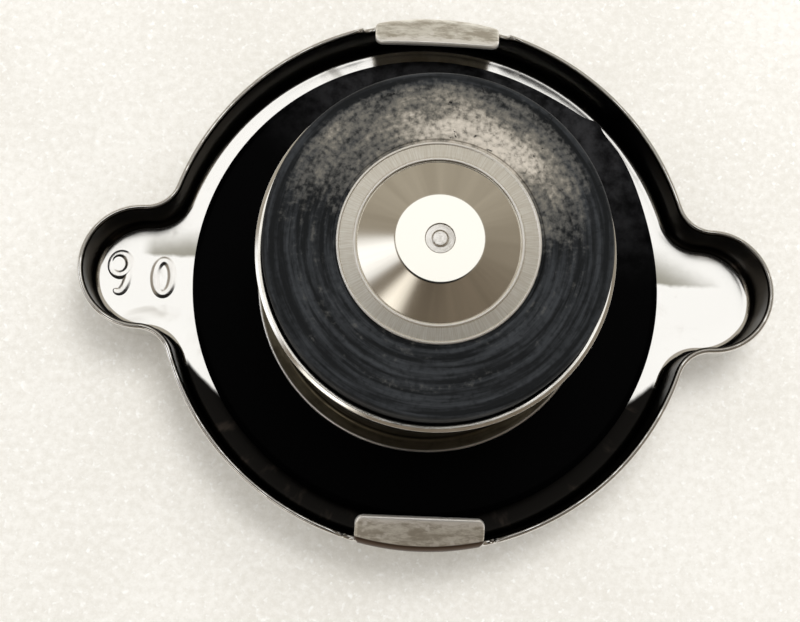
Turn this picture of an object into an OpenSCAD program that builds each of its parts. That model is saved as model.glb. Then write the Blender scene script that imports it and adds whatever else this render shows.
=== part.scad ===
// Pressure cap for a radiator filler neck, lying on its crown with the open side up.
// The axis of the cap is Z, the ears point along X and the two cam tabs stand at +Y and -Y.

/* [Shell] */
// Outer diameter of the round skirt
shell_d = 54; // [52.5:0.5:58]
// Thickness of the shell sheet
shell_t = 0.6; // [0.5:0.05:0.8]
// Height of the rim above the crown
rim_h = 6.8; // [6:0.1:8]
// Inside radius of the bend between crown and skirt
shell_bend = 0.8; // [0.6:0.1:1.2]
// Radius of the round ear tips
ear_r = 6.3; // [5.5:0.1:7.5]
// Radius of the hollow blends between ears and skirt
ear_blend = 3.25; // [2.5:0.25:4.5]
// Diameter of the dimple in the crown, at its inner face
dimple_d = 16; // [14:0.5:20]
// Height of the dimple
dimple_h = 1; // [0.9:0.05:1.3]

/* [Cam tabs] */
// Width of a cam tab
tab_w = 12.6; // [9:0.1:15]
// How far the tab edge lies inside the outer face of the skirt
tab_reach = 3.4; // [2.8:0.1:3.8]
// Slope of the tab against the rim plane
tab_slope = 25; // [10:1:35]
// Inside radius of the tab bend
tab_bend = 0.6; // [0.4:0.05:0.9]
// Corner radius of the tab
tab_corner = 1.2; // [0.6:0.1:2]
// Diameter of the relief notches beside a tab
relief_d = 1.5; // [1:0.1:2]

/* [Gasket and crown rivet] */
// Gap between the inside of the skirt and the top gasket
gasket_gap = 2.5; // [2:0.1:3]
// Thickness of the top gasket
gasket_t = 1.2; // [0.9:0.1:1.6]
// Thickness of the spring disc under the gasket
disc_t = 0.35; // [0.25:0.05:0.5]
// Diameter of the rivet shoulder that turns in the crown
pivot_d = 6; // [5:0.25:7]
// Diameter of the rivet shank
shank_d = 4.6; // [4:0.1:4.8]
// Diameter of the rivet heads
head_d = 9; // [8.5:0.25:10.5]

/* [Spring housing] */
// Outer diameter of the spring housing
housing_d = 31.4; // [30.8:0.1:31.8]
// Thickness of the housing sheet
housing_t = 0.6; // [0.4:0.05:0.7]
// Height of the housing
housing_h = 13.5; // [12.5:0.1:14.5]
// Width of the flange that clamps the gasket
clamp_w = 1.5; // [1:0.1:2]
// Width of a flow window in the housing
window_w = 5; // [3:0.25:7]
// Height of a flow window
window_h = 4; // [3:0.25:5]

/* [Pressure valve] */
// Wire diameter of the pressure spring
spring_wire = 1.9; // [1.4:0.1:2]
// Number of turns of the pressure spring
spring_turns = 4.5; // [3.5:0.25:4.5]
// Free travel of the pressure valve
lift = 3.5; // [2:0.1:3.5]
// Outer diameter of the spring seat
seat_d = 24.2; // [23.2:0.1:25]
// Outer diameter of the seal cup
cup_d = 32.6; // [32:0.1:33.4]
// Thickness of the cup and seat sheet
cup_t = 0.6; // [0.4:0.05:0.7]
// Height of the cup
cup_h = 1.6; // [1.2:0.1:2]
// Diameter of the rubber seal face
seal_d = 31; // [30.4:0.1:31]
// Thickness of the rubber seal
seal_t = 4.8; // [4.4:0.1:5.4]
// Radius of the rounded seal edge
seal_round = 0.5; // [0.3:0.05:0.8]

/* [Vacuum valve] */
// Outer diameter of the vacuum dish
dish_d = 18; // [17:0.1:18.4]
// Outer diameter of the cone of the dish
cone_d = 14.6; // [13.8:0.1:15.2]
// Diameter of the flat centre of the dish
flat_d = 7.8; // [6.4:0.1:8.6]
// Height of the flat centre above the dish ring
cone_h = 1.4; // [1:0.1:1.8]
// Thickness of the dish sheet
dish_t = 0.5; // [0.4:0.05:0.6]
// Diameter of the vacuum stem
stem_d = 2.6; // [2.2:0.1:3]
// Wire diameter of the vacuum spring
vacuum_wire = 0.6; // [0.4:0.05:0.7]
// Number of turns of the vacuum spring
vacuum_turns = 5.5; // [4:0.25:5.5]
// Length of the closed vacuum spring
vacuum_len = 7.2; // [6.6:0.1:7.6]

/* [Hidden] */
$fn = 96;

// Clearances
swivel_gap = 0.05;
slide_gap = 0.3;
fit_gap = 0.1;
seat_gap = 0.05;

// How far a cut runs past the sheet it goes through
over = 1;

// Shell outline: the blend centres lie straight beside the ear centres,
// and the blends cut a hair into the circles of skirt and ears.
shell_r = shell_d / 2;
bend_out = shell_bend + shell_t;
blend_cut = 0.03;
blend_y = ear_r + ear_blend - blend_cut;
blend_far = shell_r + ear_blend - blend_cut;
ear_x = sqrt(pow(blend_far, 2) - pow(blend_y, 2));
blend_a = asin(blend_y / blend_far);
trim_step = 1;
dimple_ramp = 1.2;
dimple_lap = 1;
dimple_edge = dimple_d / 2 + dimple_ramp;
crown_z = dimple_h + shell_t;

// Cam tabs
tab_edge = shell_r - tab_reach;
tab_pivot = shell_r - shell_t - tab_bend;
tab_turn = 90 - tab_slope;
tab_root = 1;
bend_steps = 10;
relief_offset = 0.35 * relief_d;

// Rivet, disc and gasket, from the crown upward
head_recess = 0.1;
head_t = dimple_h - swivel_gap - head_recess;
closing_edge = 0.5;
closing_h = 1.2;
disc_z = crown_z + swivel_gap;
disc_inset = 0.5;
gasket_d = shell_d - 2 * (shell_t + gasket_gap);
disc_d = gasket_d - 2 * disc_inset;
base_z = disc_z + disc_t;
gasket_z = base_z + gasket_t;
gasket_bevel = 0.35;
land_out = tab_edge - slide_gap;

// Housing: a can with its base on the disc, a flange on the gasket and a lip that holds the spring seat
housing_r = housing_d / 2;
housing_bend = 0.8;
clamp_lap = housing_t / 2;
clamp_sink = 0.15;
clamp_z = gasket_z - clamp_sink;
clamp_edge = housing_r + clamp_w + fit_gap;
spring_z = base_z + housing_t;
lip_top = base_z + housing_h;
lip_z = lip_top - housing_t;
lip_r = seat_d / 2 + slide_gap;
window_rise = 4;
window_z = spring_z + window_rise;

// Spring seat: its brim waits under the lip and its crown carries the cup
brim_w = 1.5;
brim_d = seat_d + 2 * brim_w;
brim_top = lip_z - seat_gap;
lift_spare = 0.5;
seat_top = lip_top + lift + lift_spare;
seat_z = seat_top - cup_t;
spring_mean = seat_d / 2 - cup_t - spring_wire / 2 - slide_gap;
spring_len = seat_z - spring_z;

// Cup, seal and eyelet
seal_z = seat_top + cup_t;
seal_face = seal_z + seal_t;
seal_step = 0.15;
web_t = 1.8;
flow_gap = 2.2;
tube_t = 0.7;
tube_d = stem_d + 2 * (flow_gap + tube_t);
flange_w = 2.2;
flange_d = tube_d + 2 * flange_w;
flange_t = 0.6;
flange_low = seat_z - flange_t;
flange_high = seal_z + web_t;
recess_gap = 0.4;
recess_d = flange_d + 2 * recess_gap;

// Vacuum valve
dish_z = seal_face - seal_step + seat_gap;
ring_drop = 0.3;
groove_w = 0.5;
groove_t = 0.2;
dish_top = dish_z + dish_t + cone_h;
stake_d = stem_d + 1;
stake_h = 0.6;
collar_h = 1;
retainer_d = tube_d + 2;
retainer_t = 0.6;
retainer_z = flange_low - vacuum_len - retainer_t;
vacuum_mean = tube_d / 2 + fit_gap;

// Section of a solid round plate with its lower edge rounded.
module round_section(radius, edge, height) {
    square([radius - edge, height]);
    translate([0, edge])
        square([radius, height - edge]);
    translate([radius - edge, edge])
        circle(edge);
}

// Section of the web around a blend: solid outside the radius, with its lower edge rounded.
module web_section(radius, edge, height, reach) {
    translate([radius + edge, 0])
        square([reach - edge, height]);
    translate([radius, edge])
        square([reach, height - edge]);
    translate([radius + edge, edge])
        circle(edge);
}

// Solid inside the shell outline, set in by a distance all round, with a round lower edge.
// Its pieces rise to different heights above the rim, where one plane trims them.
module pan(inset, edge) {
    rotate_extrude()
        round_section(shell_r - inset, edge, rim_h + trim_step);
    for (side = [0, 180])
        rotate(side) {
            translate([ear_x, 0, 0])
                rotate_extrude()
                    round_section(ear_r - inset, edge, rim_h + 2 * trim_step);
            for (flip = [0, 1])
                mirror([0, flip, 0])
                    translate([ear_x, blend_y, 0])
                        rotate(180 + blend_a)
                            rotate_extrude(angle = 90 - blend_a)
                                web_section(ear_blend + inset, edge, rim_h + 3 * trim_step, ear_r);
        }
}

// Dimple that lifts the middle of the crown, so that the rivet head stays off the ground.
module dimple() {
    hole_r = pivot_d / 2 + swivel_gap;
    rotate_extrude()
        polygon([
            [hole_r, dimple_h], [dimple_d / 2, dimple_h], [dimple_edge, 0], [dimple_edge + dimple_lap, 0],
            [dimple_edge + dimple_lap, shell_t], [dimple_edge, shell_t], [dimple_d / 2, crown_z],
            [hole_r, crown_z]
        ]);
}

// Section of a cam tab: the sheet turns inward from the rim in small steps and rises toward its edge.
// Its root is a narrow tongue that runs down inside the sheet of the skirt.
module tab_section() {
    tab_out = tab_bend + shell_t;
    tab_len = tab_reach + over;
    turns = [for (i = [0 : bend_steps]) tab_turn * i / bend_steps];
    ray = [cos(tab_turn), sin(tab_turn)];
    rise = tab_len * [-ray[1], ray[0]];
    tongue_in = tab_bend + shell_t / 4;
    tongue_out = tab_bend + 3 * shell_t / 4;
    translate([tab_pivot, rim_h])
        polygon(concat(
            [[tongue_in, -tab_root], [tongue_out, -tab_root], [tongue_out, 0]],
            [for (a = turns) tab_out * [cos(a), sin(a)]],
            [tab_out * ray + rise, tab_bend * ray + rise],
            [for (i = [bend_steps : -1 : 0]) tab_bend * [cos(turns[i]), sin(turns[i])]],
            [[tongue_in, 0]]
        ));
}

// Outline of both cam tabs from above, with straight inner edges and round corners.
module tab_outline() {
    for (side = [0, 180])
        rotate(side) {
            translate([-tab_w / 2, tab_edge + tab_corner])
                square([tab_w, tab_reach]);
            translate([-tab_w / 2 + tab_corner, tab_edge])
                square([tab_w - 2 * tab_corner, tab_reach]);
            for (end = [-1, 1])
                translate([end * (tab_w / 2 - tab_corner), tab_edge + tab_corner])
                    circle(tab_corner);
        }
}

module cam_tabs() {
    intersection() {
        rotate_extrude()
            tab_section();
        linear_extrude(2 * rim_h)
            tab_outline();
    }
}

module cap_shell() {
    color("gainsboro")
        difference() {
            union() {
                difference() {
                    pan(0, bend_out);
                    translate([0, 0, shell_t])
                        pan(shell_t, shell_bend);
                    translate([0, 0, rim_h])
                        cylinder(r = shell_d, h = rim_h);
                    cylinder(r = dimple_edge + dimple_lap / 2, h = 3 * shell_t, center = true);
                }
                dimple();
                cam_tabs();
            }
            for (end = [-1, 1])
                translate([end * (tab_w / 2 + relief_offset), 0, rim_h])
                    rotate([90, 0, 0])
                        cylinder(d = relief_d, h = 2 * shell_d, center = true);
        }
}

// Shouldered rivet: the shoulder turns in the crown and the shank clamps disc and housing.
module crown_rivet() {
    head_z = dimple_h - swivel_gap;
    color("silver") {
        translate([0, 0, head_z - head_t])
            cylinder(d = head_d, h = head_t);
        translate([0, 0, head_z - head_t / 2])
            cylinder(d = pivot_d, h = disc_z - head_z + head_t / 2);
        translate([0, 0, head_z])
            cylinder(d = shank_d, h = spring_z - head_z + closing_edge);
        translate([0, 0, spring_z])
            rotate_extrude()
                polygon([
                    [0, 0], [head_d / 2, 0], [head_d / 2, closing_edge], [shank_d / 2, closing_h],
                    [0, closing_h]
                ]);
    }
}

module spring_disc() {
    color("slategray")
        translate([0, 0, disc_z])
            difference() {
                cylinder(d = disc_d, h = disc_t);
                translate([0, 0, -over])
                    cylinder(d = shank_d, h = disc_t + 2 * over);
            }
}

// Rubber ring with a bevelled outer edge, a flat land and a low step that the housing flange lies in.
module top_gasket() {
    gasket_r = gasket_d / 2;
    hole_r = housing_r + fit_gap;
    edge_z = gasket_z - gasket_bevel;
    color("#1c1b1a")
        rotate_extrude()
            polygon([
                [hole_r, base_z], [gasket_r, base_z], [gasket_r, edge_z], [land_out, gasket_z],
                [clamp_edge, gasket_z], [clamp_edge, clamp_z], [hole_r, clamp_z]
            ]);
}

// Section of the spring housing: base, rounded corner, straight wall, flange and the lip turned inward.
module housing_section() {
    wall_in = housing_r - housing_t;
    corner_z = base_z + housing_bend;
    difference() {
        union() {
            translate([0, base_z])
                square([housing_r - housing_bend, housing_h]);
            translate([0, corner_z])
                square([housing_r, housing_h - 2 * housing_bend]);
            for (z = [corner_z, lip_top - housing_bend])
                translate([housing_r - housing_bend, z])
                    circle(housing_bend);
            translate([housing_r - clamp_lap, clamp_z])
                square([clamp_w + clamp_lap, housing_t]);
        }
        translate([0, spring_z])
            square([wall_in, lip_z - spring_z]);
        translate([0, lip_z - over])
            square([lip_r, housing_t + 2 * over]);
        translate([0, base_z - over])
            square([shank_d / 2, housing_t + 2 * over]);
    }
}

module spring_housing() {
    color("darkkhaki")
        difference() {
            rotate_extrude()
                housing_section();
            translate([-shell_d, -window_w / 2, window_z])
                cube([2 * shell_d, window_w, window_h]);
        }
}

// Height along a coil whose pitch grows over the first turn and fades over the last one.
function coil_rise(turn, turns) =
    turn < 1 ? turn * turn / 2
    : turn > turns - 1 ? turns - 1 - pow(turns - turn, 2) / 2
    : turn - 0.5;

// Round wire wound on a cylinder, from z = 0 to z = len.
module coil(mean_r, wire, len, turns) {
    sides = 8;
    steps = ceil(turns * 20);
    pitch = (len - wire) / (turns - 1);
    points = [
        for (i = [0 : steps], j = [0 : sides - 1])
            let (
                turn = turns * i / steps,
                a = 360 * turn,
                b = 360 * j / sides,
                r = mean_r + wire / 2 * cos(b)
            )
            [r * cos(a), r * sin(a), wire / 2 + pitch * coil_rise(turn, turns) + wire / 2 * sin(b)]
    ];
    skin = [
        for (i = [0 : steps - 1], j = [0 : sides - 1], half = [0, 1])
            let (
                k = (j + 1) % sides,
                low = i * sides,
                high = low + sides
            )
            half == 0 ? [low + j, high + j, high + k] : [low + j, high + k, low + k]
    ];
    start_cap = [for (j = [0 : sides - 1]) j];
    end_cap = [for (j = [sides - 1 : -1 : 0]) steps * sides + j];
    polyhedron(points, concat(skin, [start_cap, end_cap]));
}

module pressure_spring() {
    color("dimgray")
        translate([0, 0, spring_z])
            coil(spring_mean, spring_wire, spring_len, spring_turns);
}

// Hat-shaped seat: the brim is caught by the housing lip, the crown carries the cup.
module spring_seat() {
    wall_r = seat_d / 2;
    color("silver")
        rotate_extrude()
            polygon([
                [tube_d / 2, seat_z], [wall_r - cup_t, seat_z], [wall_r - cup_t, brim_top - cup_t],
                [brim_d / 2, brim_top - cup_t], [brim_d / 2, brim_top], [wall_r, brim_top],
                [wall_r, seat_top], [tube_d / 2, seat_top]
            ]);
}

// Shallow cup with a rounded lower edge that holds the rim of the rubber seal.
module seal_cup() {
    cup_r = cup_d / 2;
    cup_bend = 0.7;
    color("gainsboro")
        rotate_extrude()
            difference() {
                union() {
                    translate([0, seat_top])
                        square([cup_r - cup_bend, cup_h]);
                    translate([0, seat_top + cup_bend])
                        square([cup_r, cup_h - cup_bend]);
                    translate([cup_r - cup_bend, seat_top + cup_bend])
                        circle(cup_bend);
                }
                translate([0, seal_z])
                    square([cup_r - cup_t, cup_h + cup_bend]);
                translate([0, seat_top - over])
                    square([tube_d / 2, cup_t + 2 * over]);
            }
}

// Rubber seal: flat ring face with a round outer edge, a low step under the dish and a deep centre.
module pressure_seal() {
    seal_r = seal_d / 2;
    step_r = dish_d / 2 + slide_gap;
    color("#262422")
        rotate_extrude()
            difference() {
                union() {
                    translate([0, seal_z])
                        square([seal_r - seal_round, seal_t]);
                    translate([0, seal_z])
                        square([seal_r, seal_t - seal_round]);
                    translate([seal_r - seal_round, seal_face - seal_round])
                        circle(seal_round);
                }
                translate([0, seal_z - over])
                    square([tube_d / 2, seal_t + 2 * over]);
                translate([0, flange_high])
                    square([recess_d / 2, seal_t]);
                translate([0, seal_face - seal_step])
                    square([step_r, seal_t]);
            }
}

// Tubular eyelet with a flange at each end that clamps seat, cup and seal together.
module seal_eyelet() {
    tube_r = tube_d / 2;
    top = flange_high + flange_t;
    color("silver")
        rotate_extrude()
            polygon([
                [tube_r - tube_t, flange_low], [flange_d / 2, flange_low], [flange_d / 2, seat_z],
                [tube_r, seat_z], [tube_r, flange_high], [flange_d / 2, flange_high],
                [flange_d / 2, top], [tube_r - tube_t, top]
            ]);
}

// Dished plate: outer ring that falls toward its edge, narrow groove, cone and raised flat centre.
module vacuum_dish() {
    ring_z = dish_z + dish_t;
    groove_z = ring_z - groove_t;
    cone_r = cone_d / 2 - groove_w;
    color("gainsboro")
        rotate_extrude()
            polygon([
                [stem_d / 2, dish_top - dish_t], [flat_d / 2, dish_top - dish_t], [cone_r, dish_z],
                [dish_d / 2, dish_z], [dish_d / 2, ring_z - ring_drop], [cone_d / 2, ring_z],
                [cone_d / 2, groove_z], [cone_r, groove_z], [flat_d / 2, dish_top],
                [stem_d / 2, dish_top]
            ]);
}

// Stem with a collar under the dish and a stake that holds the retainer.
module vacuum_stem() {
    color("silver") {
        translate([0, 0, retainer_z])
            cylinder(d = stem_d, h = dish_top - retainer_z);
        translate([0, 0, dish_top - dish_t - collar_h])
            cylinder(d = stake_d, h = collar_h);
        translate([0, 0, retainer_z - stake_h])
            cylinder(d = stake_d, h = stake_h);
    }
}

module vacuum_spring() {
    color("dimgray")
        translate([0, 0, retainer_z + retainer_t])
            coil(vacuum_mean, vacuum_wire, vacuum_len, vacuum_turns);
}

module spring_retainer() {
    color("silver")
        translate([0, 0, retainer_z])
            difference() {
                cylinder(d = retainer_d, h = retainer_t);
                translate([0, 0, -over])
                    cylinder(d = stem_d, h = retainer_t + 2 * over);
            }
}

cap_shell();
crown_rivet();
spring_disc();
top_gasket();
spring_housing();
pressure_spring();
spring_seat();
seal_cup();
pressure_seal();
seal_eyelet();
vacuum_dish();
vacuum_stem();
vacuum_spring();
spring_retainer();
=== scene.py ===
import math

import bmesh
import bpy
import numpy as np
from mathutils import Matrix, Vector


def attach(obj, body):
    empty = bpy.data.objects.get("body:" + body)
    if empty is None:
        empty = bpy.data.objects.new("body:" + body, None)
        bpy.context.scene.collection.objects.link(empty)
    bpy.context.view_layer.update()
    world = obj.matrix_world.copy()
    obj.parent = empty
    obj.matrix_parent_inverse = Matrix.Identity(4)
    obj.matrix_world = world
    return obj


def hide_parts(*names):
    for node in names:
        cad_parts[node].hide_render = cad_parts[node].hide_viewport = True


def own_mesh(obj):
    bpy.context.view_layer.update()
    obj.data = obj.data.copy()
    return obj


# Radiator cap lying on its crown, open side up: ears along X, cam tabs at +Y and -Y, axis Z.
# Sizes in the dictionaries are millimetres in the CAD frame, angles are degrees.
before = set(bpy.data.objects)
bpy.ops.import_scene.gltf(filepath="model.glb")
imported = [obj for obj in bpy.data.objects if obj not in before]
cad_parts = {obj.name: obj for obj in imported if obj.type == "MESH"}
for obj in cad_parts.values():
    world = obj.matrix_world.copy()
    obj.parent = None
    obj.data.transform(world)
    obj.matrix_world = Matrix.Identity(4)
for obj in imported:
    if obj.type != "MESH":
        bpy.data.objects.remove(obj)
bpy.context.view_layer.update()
mm = 0.001
fullTurn = 2 * np.pi
quarterTurn = np.pi / 2
weldGap = 1e-8  # metres
print("frame loaded:", len(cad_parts), "nodes")


# quads between neighbours of a rows by cols grid, wrapping round in each closed direction
def gridFaces(rows, cols, closeRows=True, closeCols=True):
    i = np.arange(rows if closeRows else rows - 1)[:, None]
    j = np.arange(cols if closeCols else cols - 1)[None, :]
    a, b = (i + 1) % rows, (j + 1) % cols
    return np.stack([i * cols + j, a * cols + j, a * cols + b, i * cols + b], axis=-1).reshape(-1, 4)


# several (points, faces) pairs as one pair, with the face numbers moved on
def joinGrids(*grids):
    counts = np.cumsum([0] + [len(p) for p, _ in grids])
    points = np.concatenate([p for p, _ in grids])
    return points, np.concatenate([f + n for (_, f), n in zip(grids, counts)])


# puts a grid into a mesh object that rides on a body and stands for a CAD node
def addPiece(name, grid, material, body, node, slot, marks=None):
    points, faces = grid
    mesh = bpy.data.meshes.new(name)
    mesh.vertices.add(len(points))
    mesh.vertices.foreach_set("co", (points * mm).astype(np.float32).ravel())
    mesh.loops.add(faces.size)
    mesh.loops.foreach_set("vertex_index", faces.astype(np.int32).ravel())
    mesh.polygons.add(len(faces))
    mesh.polygons.foreach_set("loop_start", np.arange(0, faces.size, 4, dtype=np.int32))
    mesh.update(calc_edges=True)
    for key, values in (marks or {}).items():
        mesh.attributes.new(key, "FLOAT", "POINT").data.foreach_set("value", values.astype(np.float32))
    bm = bmesh.new()
    bm.from_mesh(mesh)
    bmesh.ops.remove_doubles(bm, verts=bm.verts, dist=weldGap)  # closes the poles
    bm.to_mesh(mesh)
    bm.free()
    mesh.polygons.foreach_set("use_smooth", np.ones(len(mesh.polygons), bool))
    mesh.materials.append(material)
    piece = bpy.data.objects.new(name, mesh)
    bpy.context.scene.collection.objects.link(piece)
    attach(piece, body)
    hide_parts(node)
    print("piece", name, len(mesh.polygons), "faces")
    return piece


# closed profile: each (r, z, radius) corner becomes an arc between its two sides,
# with a holding point just before and just after it so that the flats stay flat
def roundedLoop(corners, segments=6, hold=0.06, holdShare=0.3, smallest=1e-4):
    table = np.array(corners, float)
    p, radius = table[:, :2], np.maximum(table[:, 2:], smallest)
    toPrev, toNext = np.roll(p, 1, 0) - p, np.roll(p, -1, 0) - p
    side = np.linalg.norm(toNext, axis=1, keepdims=True)
    toPrev = toPrev / np.linalg.norm(toPrev, axis=1, keepdims=True)
    toNext = toNext / side
    half = 0.5 * np.arccos(np.clip((toPrev * toNext).sum(1, keepdims=True), -1, 1))
    reach = radius / np.tan(half)
    spare = side - reach - np.roll(reach, -1, 0)
    holdNext = np.minimum(hold, holdShare * spare)
    holdPrev = np.roll(holdNext, 1, 0)
    middle = toPrev + toNext
    centre = p + middle / np.linalg.norm(middle, axis=1, keepdims=True) * radius / np.sin(half)
    first, last = p + toPrev * reach - centre, p + toNext * reach - centre
    sweep = (np.pi - 2 * half)[:, None]
    t = np.linspace(0, 1, segments + 1)[None, :, None]
    arc = (np.sin((1 - t) * sweep) * first[:, None] + np.sin(t * sweep) * last[:, None]) / np.sin(sweep)
    before = (p + toPrev * (reach + holdPrev))[:, None]
    after = (p + toNext * (reach + holdNext))[:, None]
    return np.concatenate([before, centre[:, None] + arc, after], axis=1).reshape(-1, 2)


# profile with extra points, so that no step along it is longer than the given one
def fineLoop(loop, step):
    ahead = np.roll(loop, -1, 0)
    count = np.maximum(1, np.ceil(np.linalg.norm(ahead - loop, axis=1) / step)).astype(int)
    index = np.repeat(np.arange(len(loop)), count)
    share = (np.arange(count.sum()) - np.repeat(np.cumsum(count) - count, count)) / count[index]
    return loop[index] + share[:, None] * (ahead[index] - loop[index])


# (r, z) profile turned about the axis: x = r cos a, y = r sin a
def revolve(loop, turns):
    a = np.linspace(0, fullTurn, turns, endpoint=False)[:, None]
    r, z = loop[:, 0], loop[:, 1]
    points = np.stack([r * np.cos(a), r * np.sin(a), z + 0 * a], axis=-1)
    return points.reshape(-1, 3), gridFaces(turns, len(loop))


# a piece turned from its rounded corners
def addTurned(name, size, *placing):
    loop = roundedLoop(size["corners"], size.get("segments", 6))
    return addPiece(name, revolve(loop, size["turns"]), *placing)


# round wire on a helix: the pitch grows over the first turn and fades over the last,
# and the wire's radius follows a half circle to a point at both ends
def coil(size, steps=40, sides=16):
    wire, turns = size["wire"] / 2, size["turns"]
    tip = wire / (fullTurn * size["radius"])
    ends = tip * np.array([0, 0.03, 0.12, 0.3, 0.6])  # closer together towards the point
    body = np.linspace(tip, turns - tip, int(turns * steps))
    t = np.concatenate([ends, body, turns - ends[::-1]])[:, None]
    fade = np.clip(np.minimum(t, turns - t) / tip, 0, 1)
    thick = wire * np.sqrt(1 - (1 - fade) ** 2)
    lastTurn = turns - 1 - (turns - t) ** 2 / 2
    rise = np.where(t < 1, t * t / 2, np.where(t > turns - 1, lastTurn, t - 0.5))
    z = size["low"] + wire + (size["length"] - 2 * wire) / (turns - 1) * rise
    b = np.linspace(0, fullTurn, sides, endpoint=False)[None, :]
    r, a = size["radius"] + thick * np.cos(b), fullTurn * t
    points = np.stack([r * np.cos(a), r * np.sin(a), z + thick * np.sin(b)], axis=-1)
    return points.reshape(-1, 3), gridFaces(len(t), sides, False, True)


# puts links and plain values on a node's inputs
def fillSockets(node, sockets):
    for key, value in sockets.items():
        if isinstance(value, bpy.types.NodeSocket):
            node.id_data.links.new(value, node.inputs[key])
        else:
            node.inputs[key].default_value = value


# a new node with its settings and inputs, in the tree of the first socket among them if no tree is named
def addNode(kind, sockets={}, tree=None, **settings):
    linked = [value for value in sockets.values() if isinstance(value, bpy.types.NodeSocket)]
    node = (tree or linked[0].id_data).nodes.new(kind)
    for key, value in settings.items():
        setattr(node, key, value)
    fillSockets(node, sockets)
    return node


def calc(operation, *values):
    return addNode("ShaderNodeMath", dict(enumerate(values)), operation=operation).outputs[0]


def times(first, *others):
    for value in others:
        first = calc("MULTIPLY", first, value)
    return first


def timesPlus(value, by, plus):
    return calc("MULTIPLY_ADD", value, by, plus)


def larger(first, second):
    return calc("MAXIMUM", first, second)


def vector(operation, *values, out=0):
    return addNode("ShaderNodeVectorMath", dict(enumerate(values)), operation=operation).outputs[out]


def scaled(value, by):
    return addNode("ShaderNodeVectorMath", {0: value, "Scale": by}, operation="SCALE").outputs[0]


# a mark that the mesh carries from point to point
def meshMark(tree, name):
    return addNode("ShaderNodeAttribute", tree=tree, attribute_name=name).outputs["Fac"]


def noise(coords, scale, detail=3.0, rough=0.55, warp=0.0):
    sockets = {"Vector": coords, "Scale": scale, "Detail": detail, "Roughness": rough, "Distortion": warp}
    return addNode("ShaderNodeTexNoise", sockets).outputs["Fac"]


# smooth step from 0 to 1 between two values, or between two outputs of your own
def ease(value, low, high, outLow=0.0, outHigh=1.0):
    sockets = {"Value": value, "From Min": low, "From Max": high, "To Min": outLow, "To Max": outHigh}
    return addNode("ShaderNodeMapRange", sockets, interpolation_type="SMOOTHSTEP").outputs["Result"]


# 1 between a rising and a falling step
def band(value, rise, fall):
    return times(ease(value, *rise), ease(value, *fall))


# noise cut into patches by a step
def patches(coords, grain, limits):
    return ease(noise(coords, *grain), *limits)


def blend(share, first, second):
    sockets = {0: share, 6: first, 7: second}
    return addNode("ShaderNodeMix", sockets, data_type="RGBA").outputs[2]


def tone(r, g, b):
    return (r, g, b, 1.0)


# a new material with its shader, object coordinates in millimetres, and the polar ones:
# direction (unit, in the XY plane) and distance from the axis
def startFinish(name):
    material = bpy.data.materials.new(name)
    material.use_nodes = True
    tree = material.node_tree
    coords = scaled(addNode("ShaderNodeTexCoord", tree=tree).outputs["Object"], 1 / mm)
    flat = vector("MULTIPLY", coords, (1, 1, 0))
    way = vector("NORMALIZE", flat)
    reach = vector("LENGTH", flat, out="Value")
    return material, tree.nodes["Principled BSDF"], coords, way, reach


def addBump(shader, height, depth, strength):
    sockets = {"Height": height, "Strength": strength, "Distance": depth * mm}
    fillSockets(shader, {"Normal": addNode("ShaderNodeBump", sockets).outputs["Normal"]})


# noise that runs round the axis at one rate and out along the radius at another
def axisMarks(way, reach, aroundRate, outRate, detail, rough=0.6):
    lift = addNode("ShaderNodeCombineXYZ", {"Z": times(reach, outRate)}).outputs[0]
    return noise(vector("ADD", scaled(way, aroundRate), lift), 1.0, detail, rough)


# turned marks change fast across the radius and slowly round the axis
def turnedMarks(way, reach, fine, slow=1.5):
    return axisMarks(way, reach, slow, fine, 4.0)


# radial marks change fast round the axis and slowly along the radius
def radialMarks(way, reach, fine, slow=0.25):
    return axisMarks(way, reach, fine, slow, 3.0)


# share of a ring that faces a direction: 1 at the direction, 0 beyond its half width
def faceShare(way, towards, wide):
    aim = math.radians(towards)
    facing = vector("DOT_PRODUCT", way, (math.cos(aim), math.sin(aim), 0), out="Value")
    return ease(facing, math.cos(math.radians(wide)), 1.0)


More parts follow.
